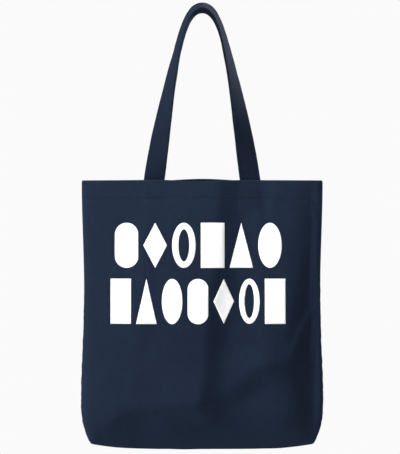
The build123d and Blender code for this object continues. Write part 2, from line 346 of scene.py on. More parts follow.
def fold_depth(folds, x, z):
    """How far the folds lift the cloth off its plain shape."""
    total = np.zeros_like(x)
    for line, tall, left, right in folds:
        xs, zs = np.array(line, float).T * MM
        order = np.argsort(zs)
        offset = x - np.interp(z, zs[order], xs[order])
        flank = np.where(offset < 0, left, right) * MM
        inside = smooth(z, zs.min() - FOLD_REACH, zs.min() + FOLD_REACH / 3)
        if zs.max() < MOUTH_Z:
            inside = inside * (1 - smooth(z, zs.max() - FOLD_REACH / 3, zs.max() + FOLD_REACH))
        total += tall * MM * hump(offset, flank) * inside
    return total


def shape_cloth(points, side):
    """The cloth before it settles: its mouth sags between the handle's ends in front, and lifts behind."""
    x, y, z = points.reshape(-1, 3).T.copy()
    slack = FRONT_SAG if side == FRONT else -REAR_LIFT
    between = np.maximum(0, 1 - (x / SAG_HALF_WIDTH) ** 2) ** 1.5
    z = z - slack * between * np.exp(-(MOUTH_Z - z) / SAG_FADE)
    return np.stack([x, y, z], axis=1)


def folded(points):
    """The folds, and the strap ends that show through the hem, added to the settled cloth."""
    x, y, z = points.T
    down, base = MOUTH_Z - z, z - MOUTH_Z + BAG_HEIGHT
    edge = half_width(np.clip(down / BAG_HEIGHT, 0, 1)) - np.abs(x)
    free = smooth(edge, 0, FOLD_SIDE_FADE) * smooth(base, 0, FOLD_BASE_FADE)
    free = free * smooth(np.abs(y), 0, FOLD_SEAM_FADE)
    near_mouth = FOLD_AT_MOUTH + FOLD_GAIN * smooth(down, 0, FOLD_GAIN_END)
    beside = np.abs(np.abs(x) - HANDLE_SPREAD)
    fade = np.where(np.abs(x) < HANDLE_SPREAD, IMPRINT_INNER, IMPRINT_OUTER)
    strap = smooth(STRAP_WIDTH / 2 + fade - beside, 0, fade)
    strap = strap * (1 - smooth(down, SEWN_LENGTH - IMPRINT_ABOVE, SEWN_LENGTH + IMPRINT_BELOW))
    for side, folds in ((FRONT, FRONT_FOLDS), (REAR, REAR_FOLDS)):
        lift = fold_depth(folds, x, z) * near_mouth * free
        held = np.maximum(lift, 0)
        if side == FRONT:
            recess = STRAP_RECESS + (x - HANDLE_SPREAD) * np.tan(np.radians(STRAP_TILT))
            held = np.where(x > 0, -recess, held)
        lift = lift * (1 - strap) + held * strap
        lift = np.maximum(lift, np.minimum(0, LEAST_DEPTH - np.abs(y)))
        points[:, 1] += np.where(y * side > 0, side * lift, 0)
    points[:, 1] += np.sign(y) * strap * IMPRINT
    turn = TURN_START + TURN_UNEVEN * waves(x + np.sign(y), np.zeros_like(x), TURN_LENGTH, 15, 2)
    under = np.clip((turn - base) / turn, 0, 1) ** TURN_CURVE
    points[:, 1] *= 1 - TURN_DEPTH * under * smooth(edge, 0, TURN_SIDE_FADE)


def build_shell():
    """One closed-bottomed shell: the front's grid, then the rear's, sharing the side and bottom seams."""
    grids = {side: panel_grid(side) for side in (FRONT, REAR)}
    wide, tall = COLUMNS + 1, ROWS + 1
    number = {FRONT: np.arange(wide * tall).reshape(tall, wide)}
    shared = np.zeros((tall, wide), bool)
    shared[:, 0] = shared[:, -1] = shared[-1, :] = True
    own = np.cumsum(~shared).reshape(tall, wide) - 1 + wide * tall
    number[REAR] = np.where(shared, number[FRONT], own)
    points = np.zeros((own.max() + 1, 3))
    for side in (REAR, FRONT):
        points[number[side].ravel()] = shape_cloth(grids[side][0], side)
    faces, material, grain = [], [], []
    for side in (FRONT, REAR):
        n, g = number[side], grids[side][1]
        for r in range(ROWS):
            for c in range(COLUMNS):
                corners = [(r, c), (r + 1, c), (r + 1, c + 1), (r, c + 1)]
                if side == REAR:
                    corners.reverse()
                faces.append([n[k] for k in corners])
                grain += [g[k] for k in corners]
                material.append(0 if side == FRONT else 1)
    obj = new_object("shell", points, faces)
    layer = obj.data.uv_layers.new(name="grain")
    layer.data.foreach_set("uv", np.array(grain).ravel())
    obj.data.polygons.foreach_set("material_index", material)
    return obj, number


def settle(obj):
    """Lets the cloth settle under its own weight, held by the strap ends and more loosely by its seams."""
    points = points_of(obj.data)
    x, z = points[:, 0], points[:, 2]
    down = MOUTH_Z - z
    sewn = (np.abs(np.abs(x) - HANDLE_SPREAD) < 0.55 * STRAP_WIDTH) & (down < SEWN_LENGTH)
    hem = HEM_HOLD * (1 - smooth(down, 0, HEM_HEIGHT * 1.3))
    side = SIDE_HOLD * (1 - smooth(BAG_WIDTH / 2 - np.abs(x), SIDE_HOLD_START, SIDE_HOLD_END))
    base = BASE_HOLD * (1 - smooth(z - MOUTH_Z + BAG_HEIGHT, 0, BASE_HOLD_END))
    seams = np.maximum.reduce([hem, side, base])
    hold = np.maximum(seams, np.where(sewn, 1.0, FREE_HOLD))
    slack = np.clip(1 - SLACK_LOSS * np.maximum(seams, np.where(sewn, 1.0, 0.0)), 0, 1)
    for name, weights in (("hold", hold), ("slack", slack)):
        group = obj.vertex_groups.new(name=name)
        for i, weight in enumerate(weights):
            group.add([i], float(weight), "REPLACE")
    cloth = obj.modifiers.new("cloth", "CLOTH")
    s = cloth.settings
    s.quality, s.mass, s.air_damping = 8, 0.25, 2.0
    s.tension_stiffness, s.compression_stiffness, s.shear_stiffness = 25, 25, 12
    s.bending_stiffness = 1.2
    s.tension_damping, s.compression_damping, s.shear_damping, s.bending_damping = 8, 8, 8, 2
    s.vertex_group_mass, s.pin_stiffness = "hold", 1.0
    s.vertex_group_shrink = "slack"
    s.shrink_min, s.shrink_max = 0.0, -SLACK
    s.effector_weights.gravity = 1.0
    cloth.collision_settings.use_collision = False
    scene = bpy.context.scene
    cloth.point_cache.frame_start, cloth.point_cache.frame_end = 1, SETTLE_FRAMES
    for step in range(1, SETTLE_FRAMES + 1):
        scene.frame_set(step)
    settled = bpy.data.meshes.new_from_object(obj.evaluated_get(bpy.context.evaluated_depsgraph_get()))
    moved = points_of(settled)
    obj.modifiers.remove(cloth)
    scene.frame_set(1)
    far = np.linalg.norm(moved - points, axis=1, keepdims=True)
    moved = points + SETTLE_SHARE * (moved - points) * np.minimum(1, SETTLE_CAP / np.maximum(far, 1e-9))
    obj.data.vertices.foreach_set("co", moved.ravel())
    obj.data.update()


def straighten_seams(obj, number):
    """Brings the side and bottom seams back to the middle plane, and the cloth near them with it."""
    points = points_of(obj.data)
    grid = number[FRONT]
    for side in (FRONT, REAR):
        n = number[side]
        left, right = points[grid[:, 0], 1], points[grid[:, -1], 1]
        share = np.linspace(0, 1, COLUMNS + 1)
        by_left, by_right = np.clip(1 - share * 3, 0, 1), np.clip(1 - (1 - share) * 3, 0, 1)
        drift = left[:, None] * by_left + right[:, None] * by_right
        own = n if side == FRONT else n[:-1, 1:-1]
        part = drift if side == FRONT else drift[:-1, 1:-1]
        points[own.ravel(), 1] -= part.ravel()
    points[grid[-1], 1] = 0
    points[grid[:, 0], 1] = points[grid[:, -1], 1] = 0
    obj.data.vertices.foreach_set("co", points.ravel())
    obj.data.update()


def refine(obj, levels):
    """The mesh subdivided smoothly, as plain geometry."""
    modifier = obj.modifiers.new("fine", "SUBSURF")
    modifier.levels = modifier.render_levels = levels
    mesh = bpy.data.meshes.new_from_object(obj.evaluated_get(bpy.context.evaluated_depsgraph_get()))
    obj.modifiers.clear()
    obj.data = mesh


def crumple(obj):
    """Puckers along the seams and the hem's stitching, soft waves all over, and then the folds."""
    points = points_of(obj.data)
    normals = np.empty(len(obj.data.vertices) * 3)
    obj.data.vertices.foreach_get("normal", normals)
    normals = normals.reshape(-1, 3)
    x, y, z = points.T
    down = MOUTH_Z - z
    edge = half_width(np.clip(down / BAG_HEIGHT, 0, 1)) - np.abs(x)
    off_seam = smooth(np.abs(y), OFF_SEAM_START, OFF_SEAM_END)
    face = np.where(y < 0, 0.0, 1.0)  # so that the two panels differ
    soft = BROAD_WAVE * waves(x, z + face, BROAD_LENGTH, 11, 2)
    soft = soft + CLOSE_WAVE * waves(x, z + face, CLOSE_LENGTH, 12, 2)
    lift = soft * (WAVE_AT_MOUTH + WAVE_GAIN * smooth(down, WAVE_GAIN_START, WAVE_GAIN_END))
    pucker = waves(x, z * 0.2 + face, HEM_PUCKER_LENGTH, 13, 2)
    pucker = hump(down - HEM_STITCH_DOWN, HEM_PUCKER_WIDTH) * pucker
    lift += -HEM_GROOVE * hump(down - HEM_STITCH_DOWN, HEM_GROOVE_WIDTH) + HEM_PUCKER * pucker
    seam_pucker = waves(z, x * 0.15 + face, SEAM_PUCKER_LENGTH, 14, 2)
    lift += SEAM_PUCKER * (hump(edge, SEAM_PUCKER_WIDTH) * seam_pucker)
    strap_edge = np.abs(np.abs(np.abs(x) - HANDLE_SPREAD) - STRAP_WIDTH / 2)
    over_strap = 1 - smooth(down, SEWN_LENGTH, SEWN_LENGTH + STRAP_GROOVE_END)
    lift -= STRAP_GROOVE * hump(strap_edge, STRAP_GROOVE_WIDTH) * over_strap
    points = points + normals * (lift * off_seam)[:, None]
    points -= normals * (SEAM_PINCH * hump(y, SEAM_PINCH_WIDTH))[:, None]
    folded(points)
    points[:, 0] *= BAG_WIDTH / np.ptp(points[:, 0])
    low, top = points[:, 2].min(), points[np.abs(x) > 0.47 * BAG_WIDTH, 2].max()
    points[:, 2] = PANEL_LOW.z + (points[:, 2] - low) * BAG_HEIGHT / (top - low)
    obj.data.vertices.foreach_set("co", points.ravel())
    obj.data.update()


def panel_from(shell_obj, side, name):
    """One panel of the shell as its own object, thicker over the hem."""
    obj = bpy.data.objects.new(name, shell_obj.data.copy())
    bpy.context.scene.collection.objects.link(obj)
    work = bmesh.new()
    work.from_mesh(obj.data)
    drop = [f for f in work.faces if f.material_index != (0 if side == FRONT else 1)]
    bmesh.ops.delete(work, geom=drop, context="FACES")
    for f in work.faces:
        f.material_index = 0
    work.to_mesh(obj.data)
    work.free()
    group = obj.vertex_groups.new(name="thick")
    points = points_of(obj.data)
    top = np.max(points[:, 2])
    thick = 1 - smooth(top - points[:, 2], HEM_HEIGHT - HEM_STEP_ABOVE, HEM_HEIGHT + HEM_STEP_BELOW)
    off_side = smooth(BAG_WIDTH / 2 - np.abs(points[:, 0]), HEM_SIDE_START, HEM_SIDE_END)
    least = CANVAS / HEM_THICKNESS
    for i, weight in enumerate(least + (1 - least) * thick * off_side):
        group.add([i], float(weight), "REPLACE")
    body = obj.modifiers.new("cloth_thickness", "SOLIDIFY")
    body.thickness, body.offset, body.vertex_group = HEM_THICKNESS, -1, "thick"
    body.use_even_offset = False
    return obj


# ---- straps ----
def mouth_face(x):
    """The panel's outer face at the mouth, as a distance from the middle plane."""
    return MOUTH_DEPTH / 2 * np.sqrt(1 - abs(x / (BAG_WIDTH / 2)) ** MOUTH_SQUARENESS)


def twist(drop):
    turn = STRAP_TWIST * np.sin(np.pi / 2 * (STRAP_DROP - drop) / STRAP_DROP)
    return np.radians(turn - CROWN_RELAX * np.exp(-drop / RELAX_FADE))


def arch(side, q):
    """The middle line of a handle's free arch: q from -1 through 0 at the crown to 1."""
    drop = STRAP_DROP * q * q
    x = q * np.sqrt(STRAP_DROP * (ARCH_OPENING + CROWN_OPENING * np.exp(-drop / CROWN_FADE)))
    apart = (mouth_face(HANDLE_SPREAD) - STRAP_SET) * drop / STRAP_DROP
    turn = twist(drop)
    reach = ((STRAP_WIDTH + HANDLE_GAP) * np.sin(turn) + STRAP_THICKNESS * np.cos(turn)) / 2
    y = np.sqrt(apart**2 + reach**2)
    return np.array([x, side * y, CROWN_MID - drop])


def strap_line(side):
    """A whole strap, sewn end to sewn end, in even steps: its middle, the ways across it and out
    of its face, the distance along it, and its ripple as a slope across it."""
    qs = np.linspace(-1, 1, ARCH_SAMPLES)
    middle = np.array([arch(side, q) for q in qs])
    turns = twist(STRAP_DROP * qs * qs)
    tails = []
    for hand, last in ((-1, middle[0]), (1, middle[-1])):
        below = np.linspace(SEWN_LENGTH, 0, TAIL_SAMPLES + 1)[:-1]
        level = np.ones(TAIL_SAMPLES)
        tail = np.stack([last[0] * level, last[1] * level, MOUTH_Z - below], axis=1)
        tails.append(tail if hand < 0 else tail[::-1])
    points = np.concatenate([tails[0], middle, tails[1]])
    turns = np.concatenate([np.zeros(TAIL_SAMPLES), turns, np.zeros(TAIL_SAMPLES)])
    shares, long = even(points, STRAP_STEPS)
    at = np.linspace(0, 1, len(points))
    points = along_line(shares, at, points)
    turns = np.interp(shares, at, turns)
    if side == FRONT:
        right, above = points[:, 0] > 0, points[:, 2] - MOUTH_Z
        turns = turns + np.radians(STRAP_TILT) * right * (1 - smooth(above, 0, TILT_FADE))
        points[:, 1] += STRAP_RECESS * right * (1 - smooth(above, 0, RECESS_FADE))
    along = unit(np.gradient(points, axis=0))
    for _ in range(6):
        along[1:-1] = (along[:-2] + 2 * along[1:-1] + along[2:]) / 4
    along = unit(along)
    inner = unit(np.stack([along[:, 2], np.zeros(len(along)), -along[:, 0]], axis=1))
    wide = inner * np.cos(turns)[:, None] + np.array([0, side, 0]) * np.sin(turns)[:, None]
    wide = unit(wide - along * np.sum(wide * along, axis=1, keepdims=True))
    normal = np.cross(wide, along) * -side
    distance = np.linspace(0, long, len(points))
    ripple = STRAP_RIPPLE * waves(distance, np.zeros_like(distance), RIPPLE_LENGTH, 21 + side)
    return points, wide, normal, distance, ripple / (STRAP_WIDTH / 2)


def strap_height(e):
    """Half the strap's thickness at a place across it: full in the middle, pinched at its stitching."""
    share = np.abs(e) / (STRAP_WIDTH / 2)
    plump = 0.9 + 0.1 * np.cos(np.pi * np.minimum(share / 0.8, 1))
    pinch = 0.2 * hump(np.abs(e) - HANDLE_ROW, 1.1 * MM)
    round_edge = np.sqrt(np.maximum(0, 1 - np.maximum(0, (share - 0.9) / 0.1) ** 2))
    return STRAP_THICKNESS / 2 * (plump - pinch) * np.maximum(round_edge, 0.12)


def build_strap(side, name):
    """A flat canvas strap, folded and stitched along both edges, twisting from the mouth to the crown."""
    points, wide, normal, distance, ripple = strap_line(side)
    across = np.sin(np.linspace(-np.pi / 2, np.pi / 2, RING_STEPS)) * STRAP_WIDTH / 2
    ring = [(e, 1) for e in across] + [(e, -1) for e in across[-2:0:-1]]
    count, verts = len(ring), []
    for i in range(len(points)):
        for e, face in ring:
            out = face * strap_height(e) + ripple[i] * e
            verts.append(points[i] + wide[i] * e + normal[i] * out)
    verts = np.array(verts)
    faces, grain = [], []
    ring_place = np.array([e for e, _ in ring])
    for i in range(len(points) - 1):
        for k in range(count):
            n = (k + 1) % count
            corners = [(i, k), (i, n), (i + 1, n), (i + 1, k)]
            if side == FRONT:
                corners.reverse()
            faces.append([a * count + b for a, b in corners])
            grain += [(ring_place[b], distance[a]) for a, b in corners]
    for i, flip in ((0, side == FRONT), (len(points) - 1, side != FRONT)):
        loop = list(range(i * count, (i + 1) * count))
        middle = len(verts)
        verts = np.vstack([verts, points[i]])
        for k in range(count):
            corners = [loop[k], loop[(k + 1) % count], middle]
            faces.append(corners if flip else corners[::-1])
            grain += [(0, 0)] * 3
    obj = new_object(name, verts, faces)
    layer = obj.data.uv_layers.new(name="grain")
    layer.data.foreach_set("uv", np.array(grain, float).ravel())
    return obj


# ---- stitches ----
def stitch_mesh(name, rows):
    """Rows of separate stitches. Each row is (points, normals) along its line, closely spaced."""
    verts, faces = [], []
    sides, rings = STITCH_SIDES, STITCH_RINGS
    for points, normals in rows:
        reached = lengths(points)
        count = max(1, int(reached[-1] / STITCH_PITCH))
        pitch = reached[-1] / count
        for s in range(count):
            start = s * pitch + (pitch - STITCH_LENGTH) / 2
            base = len(verts)
            ts = np.linspace(0, 1, rings)
            places = start + ts * STITCH_LENGTH
            line = along_line(places, reached, points)
            up = unit(along_line(places, reached, normals))
            ahead = line[-1] - line[0]
            ahead /= np.linalg.norm(ahead)
            for t, point, n in zip(ts, line, up):
                cross = np.cross(ahead, n)
                bow = np.sin(np.pi * t)
                radius = THREAD_RADIUS * (0.35 + 0.65 * bow**0.5)
                centre = point + n * (THREAD_RADIUS * (0.9 * bow - 0.35))
                for k in range(sides):
                    angle = 2 * np.pi * k / sides
                    verts.append(centre + (cross * np.cos(angle) + n * np.sin(angle)) * radius)
            for r in range(rings - 1):
                for k in range(sides):
                    n = (k + 1) % sides
                    a, b = base + r * sides, base + (r + 1) * sides
                    faces.append([a + k, a + n, b + n, b + k])
            faces.append([base + k for k in range(sides)][::-1])
            faces.append([base + (rings - 1) * sides + k for k in range(sides)])
    return new_object(name, verts, faces)


def handle_rows(side):
    points, wide, normal, _, ripple = strap_line(side)
    rows = []
    for e in (-HANDLE_ROW, HANDLE_ROW):
        for face in (1, -1):
            keep = slice(ROW_END, -ROW_END)
            out = face * strap_height(np.array(e)) + ripple * e
            line = points + wide * e + normal * out[:, None]
            rows.append((line[keep], normal[keep] * face))
    return rows


def on_cloth(tree, side, x, z):
    """The cloth's outer face at a place, and its normal, seen square on from in front or behind."""
    start = Vector((x, side * RAY_START, z))
    hit, normal, _, _ = tree.ray_cast(start, Vector((0, -side, 0)))
    if hit is None:
        raise RuntimeError(f"no cloth at {x:.3f}, {z:.3f}")
    if normal.y * side < 0:
        normal = -normal
    return np.array(hit), np.array(normal)


def cloth_row(tree, side, start, end):
    """A row of stitching over the cloth between two (x, z) places."""
    far_x, far_z = end[0] - start[0], end[1] - start[1]
    count = max(2, int(np.hypot(far_x, far_z) / CLOTH_ROW_STEP))
    shares = np.linspace(0, 1, count)
    found = [on_cloth(tree, side, start[0] + far_x * t, start[1] + far_z * t) for t in shares]
    return np.array([f[0] for f in found]), np.array([f[1] for f in found])


def hem_rows(tree, side):
    reach = HEM_HIGH.x - HEM_STITCH_END
    z = MOUTH_Z - HEM_STITCH_DOWN
    return [cloth_row(tree, side, (-reach, z), (reach, z))]


def box_rows(tree, side):
    """A box with a cross through each strap end, between the mouth and the hem's stitching."""
    rows, half = [], BOX_HALF_WIDTH
    top, bottom = MOUTH_Z - BOX_TOP, MOUTH_Z - BOX_BOTTOM
    for x in (-HANDLE_SPREAD, HANDLE_SPREAD):
        a, b, c, d = (x - half, top), (x + half, top), (x + half, bottom), (x - half, bottom)
        for start, end in ((a, b), (b, c), (c, d), (d, a), (a, c), (b, d)):
            rows.append(cloth_row(tree, side, start, end))
    return rows


# ---- the print ----
def round_points(wide, tall, count=48):
    turn = np.linspace(0, 2 * np.pi, count, endpoint=False)
    return [(wide * np.cos(t), tall * np.sin(t)) for t in turn]


def shape_outline(kind, wide):
    """(outer outline, inner outline or None) of a plain shape about the origin."""
    half, tall = wide / 2, SHAPE_HEIGHT / 2
    if kind == "pill":
        turn = np.linspace(0, np.pi, 25)
        top = [(half * np.cos(t), tall - half + half * np.sin(t)) for t in turn]
        return top + [(-x, -z) for x, z in top], None
    if kind == "oval":
        return round_points(half, tall), None
    if kind == "ring":
        line = wide * RING_LINE
        return round_points(half, tall), round_points(half - line, tall - line)
    if kind == "diamond":
        return [(half, 0), (0, tall), (-half, 0), (0, -tall)], None
    if kind == "peak":
        return [(half, -tall), (0, tall), (-half, -tall)], None
    return [(half, -tall), (half, tall), (-half, tall), (-half, -tall)], None


def flat_shape(work, kind, wide, x, z):
    """Adds one flat shape to a bmesh, sliced finely enough to follow the cloth."""
    outer, inner = shape_outline(kind, wide)
    made = bmesh.new()
    loops = [outer] + ([inner] if inner else [])
    edges = []
    for loop in loops:
        corners = [made.verts.new((x + a, 0, z + b)) for a, b in loop]
        following = corners[1:] + corners[:1]
        edges += [made.edges.new(pair) for pair in zip(corners, following)]
    bmesh.ops.triangle_fill(made, edges=edges, use_beauty=True)
    sides = ((0, x - wide / 2, x + wide / 2), (2, z - SHAPE_HEIGHT / 2, z + SHAPE_HEIGHT / 2))
    for axis, low, high in sides:
        place = low + PRINT_CELL
        while place < high - PRINT_CELL / 3:
            at, towards = [0, 0, 0], [0, 0, 0]
            at[axis], towards[axis] = place, 1
            geom = made.verts[:] + made.edges[:] + made.faces[:]
            bmesh.ops.bisect_plane(made, geom=geom, plane_co=at, plane_no=towards, dist=1e-7)
            place += PRINT_CELL
    mesh = bpy.data.meshes.new("flat")
    made.to_mesh(mesh)
    made.free()
    work.from_mesh(mesh)
    bpy.data.meshes.remove(mesh)


def build_print(tree):
    """White ink in plain shapes, laid on the front panel."""
    work, turn = bmesh.new(), 0
    for middle, below, count, wide in PRINT_ROWS:
        pitch = (wide * MM + SHAPE_GAP) / count
        for i in range(count):
            x = middle * MM + (i - (count - 1) / 2) * pitch
            kind = SHAPE_KINDS[(i + turn) % len(SHAPE_KINDS)]
            flat_shape(work, kind, pitch - SHAPE_GAP, x, MOUTH_Z + below * MM)
        turn += ROW_SHIFT
    for v in work.verts:
        place, normal = on_cloth(tree, FRONT, v.co.x, v.co.z)
        v.co = Vector(place + normal * INK)
    mesh = bpy.data.meshes.new("front_ink")
    bmesh.ops.recalc_face_normals(work, faces=work.faces)
    if sum(f.normal.y for f in work.faces) > 0:
        bmesh.ops.reverse_faces(work, faces=work.faces)
    work.to_mesh(mesh)
    work.free()
    mesh.polygons.foreach_set("use_smooth", [True] * len(mesh.polygons))
    obj = bpy.data.objects.new("front_ink", mesh)
    bpy.context.scene.collection.objects.link(obj)
    film = obj.modifiers.new("ink_film", "SOLIDIFY")
    film.thickness, film.offset = INK_FILM, -1
    return obj


# ---- seam allowances inside ----
def allowance(name, line, inward_way, wide):
    """A pressed seam allowance: two layers, overlocked, standing in from a seam's line."""
    verts, faces = [], []
    count = len(line)
    distance = lengths(line)
    lean = waves(distance, np.zeros(count), SEAM_LEAN_LENGTH, 31) * SEAM_LEAN
    teeth = OVERLOCK_DEPTH * np.sin(distance * 2 * np.pi / OVERLOCK_PITCH)
    along = unit(np.gradient(line, axis=0))
    for i in range(count):
        way = inward_way[i]
        thick = np.cross(along[i], way)
        thick /= np.linalg.norm(thick)
        for reach, half in ALLOWANCE_PROFILE:
            inward = wide * reach + (teeth[i] if reach > 0.9 else 0)
            verts.append(line[i] + way * inward + thick * (half * MM + lean[i] * reach**2))
    n = len(ALLOWANCE_PROFILE)
    for i in range(count - 1):
        for k in range(n):
            m = (k + 1) % n
            faces.append([i * n + k, i * n + m, (i + 1) * n + m, (i + 1) * n + k])
    faces.append(list(range(n))[::-1])
    faces.append([(count - 1) * n + k for k in range(n)])
    obj = new_object(name, verts, faces)
    work = bmesh.new()
    work.from_mesh(obj.data)
    bmesh.ops.recalc_face_normals(work, faces=work.faces)
    work.to_mesh(obj.data)
    work.free()
    layer = obj.data.uv_layers.new(name="grain")
    places = [obj.data.vertices[loop.vertex_index].co for loop in obj.data.loops]
    layer.data.foreach_set("uv", np.array([(place.x, place.z) for place in places]).ravel())
    return obj


def resample(line, step):
    reached = lengths(line)
    return along_line(np.linspace(0, reached[-1], int(reached[-1] / step) + 1), reached, line)


def build_seams(points, number):
    """The allowances of both side seams, the bottom seam and the boxed corners."""
    grid = number[FRONT]
    made = {}
    for name, column, hand in (("left", 0, 1), ("right", -1, -1)):
        line = resample(points[grid[:-3, column]], SEAM_STEP)
        line = line[line[:, 2] < MOUTH_Z - SEAM_TOP]
        way = np.tile([hand, 0, 0], (len(line), 1)).astype(float)
        body, wide = line + way * SEAM_BODY, SEAM_ALLOWANCE - SEAM_BODY
        made[f"{name}_side_seam"] = allowance(f"{name}_side_allowance", body, way, wide)
        corner = points[grid[-1, column]] + np.array([hand * CORNER_IN, 0, CORNER_UP])
        steps = np.linspace(-CORNER_HALF, CORNER_HALF, CORNER_STEPS)
        across = np.array([corner + np.array([0, t, 0]) for t in steps])
        up = np.tile([0, 0, 1.0], (CORNER_STEPS, 1))
        made[f"{name}_corner_seam"] = allowance(f"{name}_corner_allowance", across, up, SEAM_ALLOWANCE)
    bottom = resample(points[grid[-1, 4:-4]], SEAM_STEP)
    up = np.tile([0, 0, 1.0], (len(bottom), 1))
    made["bottom_seam"] = allowance("bottom_allowance", bottom + up * 1.0 * MM, up, SEAM_ALLOWANCE - MM)
    return made


# ---- materials ----
def math_node(tree, operation, a, b=None):
    made = tree.nodes.new("ShaderNodeMath")
    made.operation = operation
    for slot, value in ((0, a), (1, b)):
        if value is None:
            continue
        if isinstance(value, (int, float)):
            made.inputs[slot].default_value = value
        else:
            tree.links.new(value, made.inputs[slot])
    return made.outputs[0]


def canvas_material(name, colour, pitch, weave=0.5, sheen=0.03):
    """Plain-woven cotton: over-and-under threads, slubs, faint mottling and a soft sheen. It is lighter on
    ridges and edges, as wear, and darker in creases and hollows, as painted shade.
    """
    material = bpy.data.materials.new(name)
    material.use_nodes = True
    tree = material.node_tree
    shader = tree.nodes["Principled BSDF"]
    shader.inputs["Roughness"].default_value = 0.92
    shader.inputs["Sheen Weight"].default_value = sheen
    shader.inputs["Sheen Roughness"].default_value = 0.45
    shader.inputs["Sheen Tint"].default_value = (0.35, 0.5, 0.9, 1)
    shader.inputs["Specular IOR Level"].default_value = 0.06
    grain = tree.nodes.new("ShaderNodeUVMap")
    grain.uv_map = "grain"
    split = tree.nodes.new("ShaderNodeSeparateXYZ")
    tree.links.new(grain.outputs["UV"], split.inputs[0])
    across = math_node(tree, "MULTIPLY", split.outputs["X"], 1 / pitch)
    down = math_node(tree, "MULTIPLY", split.outputs["Y"], 1 / pitch)
    cells = math_node(tree, "ADD", math_node(tree, "FLOOR", across), math_node(tree, "FLOOR", down))
    over = math_node(tree, "FLOORED_MODULO", cells, 2.0)
    warp = math_node(tree, "ABSOLUTE", math_node(tree, "SINE", math_node(tree, "MULTIPLY", across, np.pi)))
    weft = math_node(tree, "ABSOLUTE", math_node(tree, "SINE", math_node(tree, "MULTIPLY", down, np.pi)))
    under = math_node(tree, "SUBTRACT", 1.0, over)
    warp_up, weft_up = math_node(tree, "MULTIPLY", warp, over), math_node(tree, "MULTIPLY", weft, under)
    threads = math_node(tree, "ADD", warp_up, weft_up)

    def noise(scale, stretch, detail):
        mapping = tree.nodes.new("ShaderNodeMapping")
        mapping.inputs["Scale"].default_value = stretch
        tree.links.new(grain.outputs["UV"], mapping.inputs["Vector"])
        made = tree.nodes.new("ShaderNodeTexNoise")
        made.inputs["Scale"].default_value = scale
        made.inputs["Detail"].default_value = detail
        tree.links.new(mapping.outputs[0], made.inputs["Vector"])
        return made.outputs["Fac"]

    mottle = noise(18, (1, 1, 1), 4)
    slub_across = noise(60, (1, 22, 1), 2)
    slub_down = noise(60, (22, 1, 1), 2)
    streaks = math_node(tree, "MULTIPLY", slub_across, slub_down)
    tone = math_node(tree, "MULTIPLY", mottle, 0.12)
    tone = math_node(tree, "ADD", tone, math_node(tree, "MULTIPLY", streaks, 1.1))
    tone = math_node(tree, "ADD", tone, math_node(tree, "MULTIPLY", threads, 0.42))
    geometry = tree.nodes.new("ShaderNodeNewGeometry")
    # by pointiness: lighter on ridges and edges as wear, and darker in creases and hollows as painted shade
    wear_and_crease_shade = math_node(tree, "MULTIPLY", math_node(tree, "SUBTRACT", geometry.outputs["Pointiness"], 0.5), 1.6)
    tone = math_node(tree, "ADD", tone, wear_and_crease_shade)
    ramp = tree.nodes.new("ShaderNodeValToRGB")
    ramp.color_ramp.elements[0].position = 0.35
    ramp.color_ramp.elements[1].position = 1.0
    ramp.color_ramp.elements[0].color = [c * 0.68 for c in colour] + [1]
    ramp.color_ramp.elements[1].color = [min(1, c * 1.38) for c in colour] + [1]
    tree.links.new(tone, ramp.inputs[0])
    tree.links.new(ramp.outputs[0], shader.inputs["Base Color"])
    height = math_node(tree, "ADD", threads, math_node(tree, "MULTIPLY", streaks, 0.9))
    bump = tree.nodes.new("ShaderNodeBump")
    bump.inputs["Strength"].default_value = weave
    bump.inputs["Distance"].default_value = 0.12 * MM
    tree.links.new(height, bump.inputs["Height"])
    tree.links.new(bump.outputs[0], shader.inputs["Normal"])
    return material


def thread_material():
    material = bpy.data.materials.new("sewing_thread")
    material.use_nodes = True
    tree = material.node_tree
    shader = tree.nodes["Principled BSDF"]
    shader.inputs["Roughness"].default_value = 0.7
    shader.inputs["Specular IOR Level"].default_value = 0.15
    place = tree.nodes.new("ShaderNodeTexCoord")
    wave = tree.nodes.new("ShaderNodeTexWave")
    wave.bands_direction = "DIAGONAL"
    wave.inputs["Scale"].default_value = 900
    wave.inputs["Distortion"].default_value = 1.5
    tree.links.new(place.outputs["Object"], wave.inputs["Vector"])
    ramp = tree.nodes.new("ShaderNodeValToRGB")
    ramp.color_ramp.elements[0].color = [c * 0.4 for c in NAVY] + [1]
    ramp.color_ramp.elements[1].color = [c * 0.85 for c in NAVY] + [1]
    tree.links.new(wave.outputs["Fac"], ramp.inputs[0])
    tree.links.new(ramp.outputs[0], shader.inputs["Base Color"])
    bump = tree.nodes.new("ShaderNodeBump")
    bump.inputs["Strength"].default_value = 0.5
    bump.inputs["Distance"].default_value = 0.05 * MM
    tree.links.new(wave.outputs["Fac"], bump.inputs["Height"])
    tree.links.new(bump.outputs[0], shader.inputs["Normal"])
    return material


